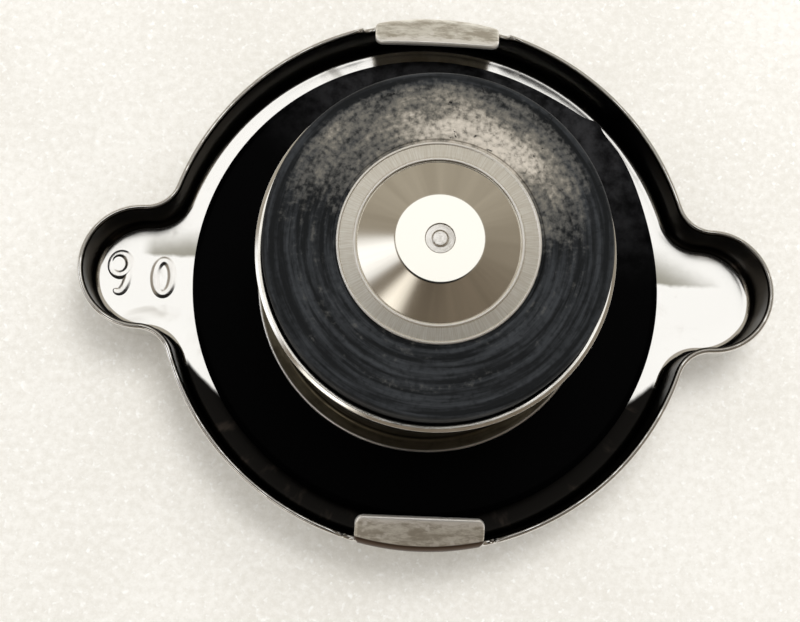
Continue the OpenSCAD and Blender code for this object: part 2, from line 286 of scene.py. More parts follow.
# In the finishes, a noise is (scale, detail, roughness, warp), and a name that ends in From or Reach gives
# the two values between which its mark comes in, then its own outputs there. A bump is (depth, strength).
shellFinish = {
    "steel": tone(0.80, 0.79, 0.77), "stain": tone(0.58, 0.55, 0.50), "rawEdge": tone(0.55, 0.53, 0.50),
    # painted dark reflections: the near-black colour with its brown streak (inside the skirt), the ear colour
    # after them, and the dark brown for one tab's bend
    "paintedDarkReflection": tone(0.012, 0.011, 0.010), "streak": tone(0.05, 0.04, 0.033), "paintedEarReflection": tone(0.29, 0.28, 0.24),
    "satinLow": tone(0.50, 0.46, 0.39), "satinHigh": tone(0.86, 0.84, 0.77),
    "scuff": tone(0.98, 0.96, 0.92), "paintedTabReflection": tone(0.07, 0.045, 0.03),
    "rough": 0.10, "roughStain": 0.22, "roughPaintedDark": 0.35, "roughEdge": 0.36,
    "roughTab": 0.36, "metalTab": 0.86,
    "patch": (0.16, 3.0, 0.5, 0.6), "patchFrom": (0.56, 0.72),
    "speck": (1.8, 4.0, 0.6), "speckFrom": (0.60, 0.78), "speckShare": 0.35, "stainShare": 0.55,
    # painted dark reflections on the ears: x, y, the way they run along X, how fast they narrow, how wide and
    # how deep they are
    "paintedEarReflections": ((-25.0, 2.15, -1, 0.15, 4.8, 3.6), (25.0, 1.3, 1, 0.5, 6.6, 4.4)),
    "earFloor": ((0.3, 0.5), (1.3, 1.0)), "rippleScale": 0.8, "rippleDeep": 0.6,
    "paintedEarReflectionFrom": (-0.1, 0.4), "paintedEarReflectionFull": 0.3, "paintedEarReflectionStart": (-2.0, -1.0), "paintedEarReflectionEnd": 1.6,
    "chips": (0.5, 3.0, 0.6), "chipsFrom": (0.66, 0.50),
    "tabFrom": (0.0, 0.5), "rubs": (0.9, 5.0, 0.7), "rubStretch": (0.5, 1.6, 1.0), "rubsFrom": (0.38, 0.64),
    "spots": (0.8, 2.0, 0.5), "spotsFrom": (0.60, 0.68), "scuffFrom": (1.05, 1.4), "scuffRubs": 0.8,
    "paintedTabReflectionFrom": (0.5, 0.9), "paintedTabReflectionRubs": 0.4,
    "streakRate": 14.0, "streakFrom": (0.55, 0.8), "ragScale": 0.9, "ragDeep": 0.2, "paintedDarkEdge": (0.15, 0.75),
    "dents": (0.35, 3.0, 0.5), "rubDeep": 2.5, "bump": (0.013, 0.5),
}


# bright stamped sheet with dull patches, a painted dark reflection on each ear, a raw sheared rim and satin
# tabs, a painted dark reflection on one tab's bend, and near-black painted reflection where the mesh marks
# it, inside the skirt and on the lower floor ring
def makeShellSteel(f):
    material, shader, coords, way, reach = startFinish("shellSteel")
    patch = patches(coords, f["patch"], f["patchFrom"])
    speck = patches(coords, f["speck"], f["speckFrom"])
    dull = larger(patch, times(speck, f["speckShare"]))
    steel = blend(times(dull, f["stainShare"]), f["steel"], f["stain"])

    tree = shader.id_data
    axes = addNode("ShaderNodeSeparateXYZ", {0: coords}).outputs
    onEar = band(axes[2], *f["earFloor"])
    ripple = noise(coords, f["rippleScale"])
    # painted dark reflection: a band on each ear floor, darkest near its lower edge
    for x, y, towards, slope, wide, deep in f["paintedEarReflections"]:
        along = timesPlus(axes[0], towards, -x * towards)
        fromLine = calc("SUBTRACT", axes[1], y + f["rippleDeep"] / 2)
        above = timesPlus(ripple, f["rippleDeep"], fromLine)
        fade = ease(timesPlus(along, slope, above), deep, f["paintedEarReflectionFull"])
        ends = band(along, f["paintedEarReflectionStart"], (wide, wide - f["paintedEarReflectionEnd"]))
        share = times(ease(above, *f["paintedEarReflectionFrom"]), fade, ends, onEar)
        steel = blend(share, steel, f["paintedEarReflection"])

    raw = times(meshMark(tree, "rimEdge"), patches(coords, f["chips"], f["chipsFrom"]))
    steel = blend(raw, steel, f["rawEdge"])
    tabMark = meshMark(tree, "tab")
    onTab = ease(tabMark, *f["tabFrom"])
    rubs = noise(vector("MULTIPLY", coords, f["rubStretch"]), *f["rubs"])
    satin = blend(ease(rubs, *f["rubsFrom"]), f["satinLow"], f["satinHigh"])
    steel = blend(onTab, steel, satin)
    spots = times(patches(coords, f["spots"], f["spotsFrom"]), tabMark)
    scuff = ease(timesPlus(rubs, f["scuffRubs"], tabMark), *f["scuffFrom"])
    steel = blend(larger(scuff, spots), steel, f["scuff"])
    # painted dark reflection along the root and bend of one tab
    paintedTabReflection = ease(timesPlus(rubs, f["paintedTabReflectionRubs"], meshMark(tree, "paintedTabReflection")), *f["paintedTabReflectionFrom"])
    steel = blend(paintedTabReflection, steel, f["paintedTabReflection"])

    # painted dark reflection: near-black with faint brown streaks on the skirt's inner wall, its bend and the
    # lower floor ring, where the mesh marks it
    streaks = ease(radialMarks(way, reach, f["streakRate"]), *f["streakFrom"])
    paintedDarkReflection = blend(streaks, f["paintedDarkReflection"], f["streak"])
    rag = timesPlus(noise(coords, f["ragScale"]), f["ragDeep"], -f["ragDeep"] / 2)
    onPaintedDark = ease(calc("ADD", meshMark(tree, "paintedDarkReflection"), rag), *f["paintedDarkEdge"])
    roughness = ease(dull, 0.0, 1.0, f["rough"], f["roughStain"])
    for mark, value in ((raw, f["roughEdge"]), (onTab, f["roughTab"]), (onPaintedDark, f["roughPaintedDark"])):
        roughness = larger(roughness, times(mark, value))
    fillSockets(shader, {"Base Color": blend(onPaintedDark, steel, paintedDarkReflection), "Roughness": roughness,
                         "Metallic": ease(tabMark, *f["tabFrom"], 1.0, f["metalTab"])})
    dents = noise(coords, *f["dents"])
    addBump(shader, timesPlus(times(rubs, tabMark), f["rubDeep"], dents), *f["bump"])
    return material


# the five plain steels differ in colours, roughness and how fine their turned marks are
pressedWear = {"cloud": (0.35, 4.0, 0.6), "cloudShare": 0.6, "marksShare": 0.4, "dullFrom": (0.38, 0.68),
               "bump": (0.02, 0.4)}
plainFinish = {"colours": (tone(0.78, 0.76, 0.73), tone(0.58, 0.55, 0.50)),
               "rough": (0.20, 0.34), "fine": 7.0}
springFinish = {"colours": (tone(0.42, 0.41, 0.40), tone(0.24, 0.22, 0.20)),
                "rough": (0.25, 0.45), "fine": 4.0}
numeralFinish = {"colours": (tone(0.82, 0.81, 0.79), tone(0.76, 0.74, 0.71)),
                 "rough": (0.10, 0.16), "fine": 2.0}
cupFinish = {"colours": (tone(0.86, 0.84, 0.80), tone(0.70, 0.67, 0.61)),
             "rough": (0.10, 0.18), "fine": 7.0}
housingFinish = {"colours": (tone(0.125, 0.108, 0.075), tone(0.06, 0.05, 0.034)),
                 "rough": (0.30, 0.50), "fine": 3.0,
                 "edge": tone(0.78, 0.76, 0.73), "edgeFrom": (16.9, 17.05)}


# plain pressed steel with turned marks, and an edge rubbed bright where the finish has one
def makePlainSteel(name, f):
    material, shader, coords, way, reach = startFinish(name)
    marks = turnedMarks(way, reach, f["fine"])
    cloud = times(noise(coords, *pressedWear["cloud"]), pressedWear["cloudShare"])
    share = ease(timesPlus(marks, pressedWear["marksShare"], cloud), *pressedWear["dullFrom"])
    colour = blend(share, *f["colours"])
    if "edge" in f:
        colour = blend(ease(reach, *f["edgeFrom"]), colour, f["edge"])
    fillSockets(shader, {"Base Color": colour, "Metallic": 1.0,
                         "Roughness": ease(share, 0.0, 1.0, *f["rough"])})
    addBump(shader, marks, *pressedWear["bump"])
    return material


dishFinish = {
    "steel": tone(0.88, 0.86, 0.80), "shade": tone(0.74, 0.70, 0.62), "edge": tone(0.98, 0.96, 0.92),
    "cone": tone(0.645, 0.605, 0.53), "coneLight": tone(0.75, 0.71, 0.63), "rough": (0.16, 0.42),
    "hatch": (90.0, 0.6), "turned": 9.0, "turnedShare": 0.15, "insideLevel": 0.3, "shadeFrom": (0.35, 0.75),
    "rays": (2.4, 0.03), "raysFrom": (0.34, 0.66), "coneFrom": (3.8, 4.0), "ringFrom": (7.15, 7.35),
    "bead": ((7.22, 7.30), (7.56, 7.46)), "lipFrom": (8.74, 8.82), "bump": (0.01, 0.3),
}


# fine brushed dish: radial hatch on the outer ring, broad rays on the cone, faint turned marks on both
# cone and centre, and a bright bead and edge lip
def makeDishSteel(f):
    material, shader, _, way, reach = startFinish("dishSteel")
    onRing = ease(reach, *f["ringFrom"])
    inside = calc("SUBTRACT", 1.0, onRing)
    hatch = times(radialMarks(way, reach, *f["hatch"]), onRing)
    turned = times(turnedMarks(way, reach, f["turned"]), f["turnedShare"])
    marks = calc("ADD", hatch, timesPlus(inside, f["insideLevel"], turned))
    steel = blend(ease(marks, *f["shadeFrom"]), f["steel"], f["shade"])
    onCone = times(ease(reach, *f["coneFrom"]), inside)
    rays = ease(radialMarks(way, reach, *f["rays"]), *f["raysFrom"])
    steel = blend(onCone, steel, blend(rays, f["cone"], f["coneLight"]))
    edge = larger(band(reach, *f["bead"]), ease(reach, *f["lipFrom"]))
    low, high = f["rough"]
    fillSockets(shader, {"Base Color": blend(edge, steel, f["edge"]), "Metallic": 1.0,
                         "Roughness": timesPlus(onRing, high - low, low)})
    addBump(shader, marks, *f["bump"])
    return material


gasketFinish = {
    # the grey colour on one side is a painted sheen
    "black": tone(0.0008, 0.0008, 0.0009), "paintedSheen": tone(0.034, 0.034, 0.036), "paintedSheenAt": (72, 72),
    "cloud": (0.5, 5.0, 0.65), "cloudFrom": (0.30, 0.70, 0.1, 1.0), "grain": (2.5, 4.0, 0.6),
    "rough": 0.4, "roughPaintedSheen": 0.3, "specular": 0.02, "bump": (0.03, 0.4),
}


# smooth black rubber, with a painted sheen on one side
def makeGasketRubber(f):
    material, shader, coords, way, _ = startFinish("gasketRubber")
    cloud = patches(coords, f["cloud"], f["cloudFrom"])
    # painted sheen: a lighter grey side of the rubber facing one direction
    paintedSheen = times(faceShare(way, *f["paintedSheenAt"]), cloud)
    fillSockets(shader, {"Base Color": blend(paintedSheen, f["black"], f["paintedSheen"]),
                         "Roughness": timesPlus(paintedSheen, f["roughPaintedSheen"], f["rough"]),
                         "Specular IOR Level": f["specular"]})
    addBump(shader, noise(coords, *f["grain"]), *f["bump"])
    return material


sealFinish = {
    "black": tone(0.006, 0.007, 0.008), "grey": tone(0.033, 0.036, 0.040), "film": tone(0.085, 0.083, 0.077),
    "scale": tone(0.20, 0.183, 0.152), "chalk": tone(0.55, 0.50, 0.43),
    # each deposit's direction and half width, the radii between which it comes in, and its share
    "crustAt": (84, 112), "crustShare": 0.26,
    "chalkAt": (70, 44), "chalkReach": (13.5, 9.8), "chalkShare": 0.18,
    "arcAt": (40, 50), "arcReach": (13.0, 11.2), "arcShare": 0.06,
    "thinTowards": (0.9, 0.0, 0.0), "thinReach": (12.6, 15.2, 0.0, 0.11),
    # painted shade: the crust is taken off the seal's round edge
    "paintedShadeReach": (13.9, 15.5, 0.0, 0.22),
    "cloud": (0.45, 7.0, 0.70), "cloudShare": 0.5, "cloudLess": -0.075, "arcs": (1.2, 2.6), "arcsShare": 0.65,
    "grain": (2.2, 4.0, 0.60), "grainShare": 0.40, "mottleShare": 0.60,
    "streaks": (1.6, 1.2), "streakShare": 0.75, "wornRough": 0.25, "wornFrom": (0.42, 0.64),
    "filmFrom": (0.54, 0.74), "scaleFrom": (0.66, 0.90), "chalkFrom": (0.78, 1.06),
    "pits": (0.8, 3.0, 0.6, 1.0), "pitsFrom": (0.36, 0.29), "gapsFrom": (0.50, 0.30), "gapsShare": 0.4,
    "rough": (0.45, 0.85, 0.55, 0.85), "specular": 0.16, "streakDeep": 0.3, "bump": (0.12, 0.5),
}


# dull black rubber with streaky ring wear; a granular mineral crust with dark pits lies on one side,
# chalky near the dish and thinner towards one end; it is taken off the round edge, which is left dark as
# painted shade
def makeSealRubber(f):
    material, shader, coords, way, reach = startFinish("sealRubber")
    crust = faceShare(way, *f["crustAt"])
    chalk = times(faceShare(way, *f["chalkAt"]), ease(reach, *f["chalkReach"]))
    arc = times(faceShare(way, *f["arcAt"]), ease(reach, *f["arcReach"]))
    cloud = timesPlus(noise(coords, *f["cloud"]), f["cloudShare"], f["cloudLess"])
    mottle = timesPlus(turnedMarks(way, reach, *f["arcs"]), f["arcsShare"], cloud)
    grain = noise(coords, *f["grain"])
    rough = timesPlus(grain, f["grainShare"], times(mottle, f["mottleShare"]))
    level = rough
    for deposit, share in ((chalk, f["chalkShare"]), (crust, f["crustShare"]), (arc, f["arcShare"])):
        level = timesPlus(deposit, share, level)
    shifted = calc("ADD", reach, vector("DOT_PRODUCT", way, f["thinTowards"], out="Value"))
    level = calc("SUBTRACT", level, ease(shifted, *f["thinReach"]))
    # painted shade: no crust on the round outer edge, so that it shows dark
    level = calc("SUBTRACT", level, ease(reach, *f["paintedShadeReach"]))

    streaks = turnedMarks(way, reach, *f["streaks"])
    worn = timesPlus(rough, f["wornRough"], times(streaks, f["streakShare"]))
    base = blend(ease(worn, *f["wornFrom"]), f["black"], f["grey"])
    for layer in ("film", "scale", "chalk"):
        base = blend(ease(level, *f[layer + "From"]), base, f[layer])
    pits = times(patches(coords, f["pits"], f["pitsFrom"]), crust)
    gaps = times(ease(grain, *f["gapsFrom"]), f["gapsShare"])
    for dark in (pits, gaps):
        base = blend(dark, base, f["black"])
    fillSockets(shader, {"Base Color": base, "Roughness": ease(level, *f["rough"]),
                         "Specular IOR Level": f["specular"]})
    relief = timesPlus(streaks, f["streakDeep"], calc("SUBTRACT", level, pits))
    addBump(shader, relief, *f["bump"])
    return material


floorFinish = {
    "low": tone(0.77, 0.745, 0.69), "high": tone(0.88, 0.86, 0.815), "spark": tone(0.95, 0.94, 0.91),
    "cloud": (0.05, 3.0, 0.5), "cloudShare": 0.35, "grain": (1.3, 4.0, 0.7), "grainShare": 0.65,
    "highFrom": (0.35, 0.65), "sparks": (1.5, 2.0, 0.6), "sparksFrom": (0.56, 0.76),
    "rough": 0.8, "specular": 0.1,
}


# pale sheet with fine grain and small bright specks
def makeFloorFinish(f):
    material, shader, coords, *_ = startFinish("tableTop")
    fine = times(noise(coords, *f["grain"]), f["grainShare"])
    grain = timesPlus(noise(coords, *f["cloud"]), f["cloudShare"], fine)
    colour = blend(ease(grain, *f["highFrom"]), f["low"], f["high"])
    colour = blend(patches(coords, f["sparks"], f["sparksFrom"]), colour, f["spark"])
    fillSockets(shader, {"Base Color": colour, "Roughness": f["rough"], "Specular IOR Level": f["specular"]})
    return material


shellSteel = makeShellSteel(shellFinish)
plainSteel = makePlainSteel("plainSteel", plainFinish)
springSteel = makePlainSteel("springSteel", springFinish)
numeralSteel = makePlainSteel("numeralSteel", numeralFinish)
cupSteel = makePlainSteel("cupSteel", cupFinish)
housingSteel = makePlainSteel("housingSteel", housingFinish)
dishSteel = makeDishSteel(dishFinish)
gasketRubber = makeGasketRubber(gasketFinish)
sealRubber = makeSealRubber(sealFinish)
print("finishes made")


shellCap = {
    "skirtRadius": 26.98, "earRadius": 6.3, "earOut": 28.66, "sheet": 0.6, "rim": 6.8, "bend": 0.8,
    "rimEdge": 0.29, "wallSteps": (1.8, 2.8, 4.0, 5.0, 5.5, 6.0, 6.4), "edgeRise": 4.5, "edgeRun": 2.0,
    "dimpleTop": 8.0, "dimpleFoot": 9.2, "dimpleRise": 1.0, "dimpleRound": 1.0, "hole": 3.05,
    "holeRound": 0.15, "flatFrom": 14.0, "circleFrom": 16.0, "floorLap": 0.1,
    "notchAt": 6.825, "notchRadius": 0.75, "notchSpan": 1.1, "notchFrom": 4.2,
    "earSteps": 40, "hollowSteps": 22, "skirtSteps": 40, "notchSteps": 44, "tabSteps": 16,
    "bendSteps": 11, "rimSteps": 7, "runSteps": 9, "circleMix": (0.66, 0.33),
    # painted dark reflection: from and to, each with its skew over the run, then its soft edge; its ends on
    # lip, bend and floor
    "paintedDarkFrom": (-162.0, 10.6), "paintedDarkTo": (-18.7, 8.0), "paintedDarkSoft": 5.0, "paintedDarkLip": 1.6,
    "shortPaintedDarkBend": (1.0, 0.35), "longPaintedDarkBend": (1.49, 0.25), "north": (1.6, 0.2), "paintedDarkFloor": (1.4, 1.2, 0.4),
}
camTab = {
    "halfWidth": 6.3, "edge": 23.6, "corner": 0.8, "slope": 25, "bend": 0.6, "root": 5.9, "skin": 0.006,
    "sideEdge": 0.22, "edgeSteps": (0, 0.02, 0.06, 0.12, 0.22), "cornerSteps": (0.4, 1.4, 7),
    "middleFrom": 1.8, "middleSteps": 12, "rootSteps": 6, "bendSteps": 14, "slopeSpan": (0.08, 0.92),
    "tipMost": 0.9, "thinnest": 0.04, "worn": (0, 0, 0, 0, 0.1, 0.3, 0.6, 0.9), "paintedTabReflectionFade": 4,
}


# outline of the cap and its outward normals: ear arc, hollow blend and skirt arc of one quarter,
# all tangent to each other, mirrored into the other three quarters
def shellOutline(c):
    earX, earR, skirt = c["earOut"], c["earRadius"], c["skirtRadius"]
    hollow = (earX ** 2 + earR ** 2 - skirt ** 2) / (2 * (skirt - earR))
    hollowY = earR + hollow
    meet = np.arctan2(hollowY, earX)
    notchHalf = c["notchSpan"] * c["notchRadius"]
    notchLow = np.arccos((c["notchAt"] + notchHalf) / skirt)
    notchHigh = np.arccos((c["notchAt"] - notchHalf) / skirt)
    ear = np.linspace(0, quarterTurn, c["earSteps"])
    blendArc = np.linspace(1.5 * np.pi, np.pi + meet, c["hollowSteps"])[1:]
    skirtArc = np.concatenate([
        np.linspace(meet, notchLow, c["skirtSteps"])[1:],
        np.linspace(notchLow, notchHigh, c["notchSteps"])[1:],  # close together at the notch
        np.linspace(notchHigh, quarterTurn, c["tabSteps"])[1:]])

    def unit(angle):
        return np.stack([np.cos(angle), np.sin(angle)], 1)

    def allRound(quarter):
        flipped = quarter * np.array([-1.0, 1.0])
        half = np.concatenate([quarter[:-1], flipped[::-1][:-1]])
        return np.concatenate([half, -half])
    point = np.concatenate([
        np.stack([earX + earR * np.cos(ear), earR * np.sin(ear)], 1),
        np.stack([earX + hollow * np.cos(blendArc), hollowY + hollow * np.sin(blendArc)], 1),
        skirt * unit(skirtArc)])
    normal = np.concatenate([unit(ear), -unit(blendArc), unit(skirtArc)])
    return allRound(point), allRound(normal)


# sheet shell: a closed section (outer bend, skirt, round rim, inner wall, inner bend, crown, dimple,
# underside) carried round the outline; rows near the edge are the outline set in by a distance, rows near
# the axis are circles, and the rows between blend the two; the rim dips in a half circle at each notch
def shellGrid(c):
    point, normal = shellOutline(c)
    way = point / np.linalg.norm(point, axis=1, keepdims=True)
    t, bend, edge = c["sheet"], c["bend"], c["rimEdge"]
    out, top = bend + t, c["rim"] - edge
    lean = np.radians(c["edgeRise"])
    rise = c["edgeRun"] * np.tan(lean) / 2  # the floor's slope fades from the bend to nothing over the run
    foot = out - bend * np.sin(lean)
    centre = t + rise + bend * np.cos(lean)
    arc, low = np.linspace(0, quarterTurn, c["bendSteps"]), np.linspace(0, quarterTurn, c["rimSteps"])
    inner = np.linspace(0, quarterTurn - lean, c["bendSteps"])
    wall, run = np.array(c["wallSteps"]), np.linspace(0, 1, c["runSteps"])[1:]

    # marks of the section's parts: rim, painted dark reflection reaching a short way and a long way down the
    # bend, painted dark reflection on the floor
    up, down = np.linspace(0, 1, len(low)), np.linspace(1, 0, len(low))
    onLip = np.clip(c["paintedDarkLip"] * up, 0, 1)
    shortPaintedDark, longPaintedDark = [np.clip((end - inner) / soft, 0, 1) for end, soft in (c["shortPaintedDarkBend"], c["longPaintedDarkBend"])]
    gain, most, less = c["paintedDarkFloor"]
    onFloor = np.clip(gain * inner, 0, most)
    parts = [  # inset from the outline, height, marks
        (out - out * np.sin(arc), out - out * np.cos(arc), {}),
        (0 * wall, wall, {}),
        (edge - edge * np.cos(low), top + edge * np.sin(low), {"rim": up}),
        (t - edge + edge * np.sin(low), top + edge * np.cos(low),
         {"rim": down, "shortPaintedDark": onLip, "longPaintedDark": onLip}),
        (0 * wall + t, wall[::-1], {"shortPaintedDark": 1, "longPaintedDark": 1}),
        (out - bend * np.cos(inner), centre - bend * np.sin(inner),
         {"shortPaintedDark": shortPaintedDark, "longPaintedDark": longPaintedDark, "floor": onFloor}),
        (foot + run * c["edgeRun"], t + rise * (1 - run) ** 2, {"floor": most - less * run, "depth": run})]
    inset, height = [np.concatenate([part[k] for part in parts]) for k in (0, 1)]

    sharp, rounded, holeRound = 0.01, c["dimpleRound"], c["holeRound"]
    crown = t + c["dimpleRise"]
    middle = roundedLoop([
        (c["flatFrom"], t, sharp), (c["dimpleFoot"], t, rounded), (c["dimpleTop"], crown, rounded),
        (c["hole"], crown, holeRound), (c["hole"], c["dimpleRise"], holeRound),
        (c["dimpleTop"], c["dimpleRise"], rounded), (c["dimpleFoot"], 0, rounded), (c["flatFrom"], 0, sharp)])
    mix, circle = c["circleMix"], c["circleFrom"]
    share = np.concatenate([np.ones(len(inset)), mix, np.zeros(len(middle)), mix[::-1], [1.0]])
    radius = np.concatenate([np.full(len(inset) + 2, circle), middle[:, 0], np.full(3, circle)])
    inset = np.concatenate([inset, np.full(len(middle) + 4, foot + c["edgeRun"]), [out + c["floorLap"]]])
    height = np.concatenate([height, [t, t], middle[:, 1], [0, 0, 0]])
    rimPoint = (point - inset[:, None, None] * normal).transpose(1, 0, 2)
    flat = share[:, None] * rimPoint + ((1 - share) * radius)[:, None] * way[:, None]
    fromNotch = np.abs(flat[..., 0]) - c["notchAt"]
    byTab = np.abs(flat[..., 1]) > c["skirtRadius"] / 2
    dip = np.sqrt(np.maximum(0, c["notchRadius"] ** 2 - fromNotch ** 2)) * byTab
    lift = np.clip((height - c["notchFrom"]) / (c["rim"] - c["notchFrom"]), 0, 1)
    z = height - lift * dip
    points = np.concatenate([flat, z[..., None]], axis=-1)

    def rowMark(key):
        mark = np.concatenate([0 * part[0] + part[2].get(key, 0) for part in parts])
        return np.pad(mark, (0, len(height) - len(mark)))
    angle = np.degrees(np.arctan2(point[:, 1], point[:, 0]))
    angle = np.where(angle > 90, angle - 360, angle)[:, None]
    # the painted dark reflection on the floor ring lies between two angles, on its lower half
    (first, skew), (last, skewEnd) = c["paintedDarkFrom"], c["paintedDarkTo"]
    depth, soft = rowMark("depth"), c["paintedDarkSoft"]
    begun = np.clip((angle - first - skew * depth) / soft, 0, 1)
    below = begun * np.clip((last - skewEnd * depth - angle) / soft, 0, 1)
    gain, less = c["north"]
    northern = np.clip(gain * normal[:, 1:] - less, 0, 1)  # there the painted dark reflection reaches down the bend
    onWall = rowMark("shortPaintedDark") + northern * (rowMark("longPaintedDark") - rowMark("shortPaintedDark"))
    paintedDarkReflection = np.maximum(onWall, rowMark("floor") * below)
    marks = {"paintedDarkReflection": paintedDarkReflection.ravel(), "rimEdge": np.broadcast_to(rowMark("rim"), z.shape).ravel()}
    return (points.reshape(-1, 3), gridFaces(*points.shape[:2])), marks


# cam tab: the middle surface of a bent sheet (up the skirt, round the bend, along the slope to a straight
# edge with round corners), thickened to both sides; the thickness runs out in a half circle at the free edges
def tabGrid(c, shell):
    t, rim, skirt = shell["sheet"], shell["rim"], shell["skirtRadius"]
    half = t / 2 + c["skin"]
    pivot = skirt - t - c["bend"]
    mid = c["bend"] + t / 2
    slope, turn = np.radians(c["slope"]), np.radians(90 - c["slope"])
    edgeSteps = np.array(c["edgeSteps"])
    across = np.concatenate([edgeSteps, np.linspace(*c["cornerSteps"]),
                             np.linspace(c["middleFrom"], c["halfWidth"], c["middleSteps"])])
    x = np.concatenate([across - c["halfWidth"], (c["halfWidth"] - across)[::-1][1:]])[:, None]
    inCorner = np.clip(np.abs(x) - (c["halfWidth"] - c["corner"]), 0, c["corner"])
    edgeY = c["edge"] + c["corner"] - np.sqrt(c["corner"] ** 2 - inCorner ** 2)
    root = np.linspace(c["root"], rim, c["rootSteps"])[None, :-1]
    arc = np.linspace(0, turn, c["bendSteps"])[None, :]
    startR, startZ = pivot + mid * np.cos(turn), rim + mid * np.sin(turn)
    slopeLen = (startR - np.hypot(edgeY, x)) / np.cos(slope)
    tip, worn = edgeSteps[None, ::-1], np.array(c["worn"])[None, :]
    upSlope = np.linspace(*c["slopeSpan"], worn.size)[None, :] * (slopeLen - c["sideEdge"])
    along = np.concatenate([upSlope, slopeLen - np.minimum(tip, c["tipMost"] * slopeLen)], axis=1)
    one = np.ones_like(x)

    def joined(atRoot, atBend, *onSlope):
        return np.concatenate([one * part for part in (atRoot, atBend, *onSlope)], axis=1)

    def roundOff(share):
        return np.sqrt(np.maximum(c["thinnest"], 1 - (1 - np.clip(share, 0, 1)) ** 2))
    r = joined((skirt - t / 2) + 0 * root, pivot + mid * np.cos(arc), startR - along * np.cos(slope))
    z = joined(root, rim + mid * np.sin(arc), startZ + along * np.sin(slope))
    lean = joined(0 * root, arc, turn + 0 * along)
    fromEnd = joined(1 + 0 * root, 1 + 0 * arc, 1 + 0 * worn, tip / c["sideEdge"])
    fromSide = np.concatenate([across, across[::-1][1:]])[:, None] / c["sideEdge"]
    thick = half * roundOff(fromEnd) * roundOff(fromSide)
    scallop = np.maximum(0, shell["notchRadius"] ** 2 - (z - rim) ** 2)
    limit = np.minimum(c["halfWidth"], shell["notchAt"] - np.sqrt(scallop))
    xx = x / c["halfWidth"] * limit
    tabMark = 0.5 + 0.5 * joined(0 * root, 0 * arc, worn, 1 + 0 * tip)
    # mark for a painted dark reflection: full at the root, fading round the bend; only the -Y tab gets it
    paintedTabReflectionMark = joined(1 + 0 * root, np.clip(c["paintedTabReflectionFade"] - c["paintedTabReflectionFade"] * arc / turn, 0, 1), 0 * along)

    def side(sign):
        rr = r + sign * thick * np.cos(lean)
        return np.stack([xx, np.sqrt(rr ** 2 - xx ** 2), z + sign * thick * np.sin(lean)], axis=-1)

    def bothSides(upper, under):
        return np.concatenate([upper, under[:, ::-1]], axis=1)[::-1]
    loop = bothSides(side(1), side(-1))
    rows, cols = loop.shape[:2]
    faces = gridFaces(rows, cols)[:(rows - 1) * cols]
    k = np.arange(cols // 2 - 1)
    cap = np.stack([k, k + 1, cols - 2 - k, cols - 1 - k], axis=1)
    faces = np.concatenate([faces, cap, cap[:, ::-1] + (rows - 1) * cols])
    front = loop.reshape(-1, 3)
    tabMark, paintedTabReflectionMark = bothSides(tabMark, tabMark).ravel(), bothSides(paintedTabReflectionMark, paintedTabReflectionMark).ravel()
    marks = {"tab": np.tile(tabMark, 2), "paintedTabReflection": np.concatenate([0 * paintedTabReflectionMark, paintedTabReflectionMark])}
    return joinGrids((front, faces), (front * [-1, -1, 1], faces)), marks


shell, shellMarks = shellGrid(shellCap)
tabs, tabMarks = tabGrid(camTab, shellCap)
shellMarks = {key: np.pad(mark, (0, len(tabs[0]))) for key, mark in shellMarks.items()}
shellMarks.update({key: np.pad(mark, (len(shell[0]), 0)) for key, mark in tabMarks.items()})
addPiece("capShell", joinGrids(shell, tabs), shellSteel, "cap", "cap_shell", "shell_steel", shellMarks)

digits = {
    "stroke": 1.15, "height": 0.058, "tailDrop": 0.006, "flatTop": 0.15, "sunk": 0.1, "footSunk": 0.004,
    "zeroAt": (-27.2, 0.0), "zeroSize": (1.8, 3.5), "nineAt": (-31.8, 0.3), "nineSize": (2.1, 4.1),
    "bowlUp": 0.22, "bowlHalf": 0.28, "tailHalf": 0.72, "tailFrom": -6, "tailTo": 118,
    "loopSteps": 72, "tailSteps": 48, "acrossSteps": 21, "underEvery": 4,
}


# embossed stroke: a flat top between two cosine shoulders, carried along a path on the ear floor, its width
# following a half circle at open ends, with a flat underside sunk into the sheet
def strokeGrid(path, d, closed, drop=0.0):
    if closed:
        tangent = np.roll(path, -1, 0) - np.roll(path, 1, 0)
        width = np.ones(len(path))
    else:
        tangent = np.gradient(path, axis=0)
        run = np.concatenate([[0], np.cumsum(np.linalg.norm(np.diff(path, axis=0), axis=1))])
        share = np.clip(np.minimum(run, run[-1] - run) / (d["stroke"] / 2), 0, 1)
        width = np.sqrt(np.maximum(1 - (1 - share) ** 2, 0))
    tangent = tangent / np.linalg.norm(tangent, axis=1, keepdims=True)
    left = np.stack([-tangent[:, 1], tangent[:, 0]], axis=1)
    s = np.linspace(-1, 1, d["acrossSteps"])
    under = s[::-1][1::d["underEvery"]]
    shoulder = np.clip((np.abs(s) - d["flatTop"]) / (1 - d["flatTop"]), 0, 1)
    over = (d["height"] - drop) * (0.5 + 0.5 * np.cos(np.pi * shoulder)) - d["footSunk"]
    across = np.concatenate([s, under])
    rise = np.concatenate([over, np.full(len(under), -d["sunk"])])
    flat = path[:, None] + left[:, None] * (across[None, :] * width[:, None] * d["stroke"] / 2)[..., None]
    z = shellCap["sheet"] + np.where(rise > 0, rise * width[:, None], rise)
    points = np.concatenate([flat, z[..., None]], axis=-1)
    return points.reshape(-1, 3), gridFaces(len(path), len(across), closed, True)


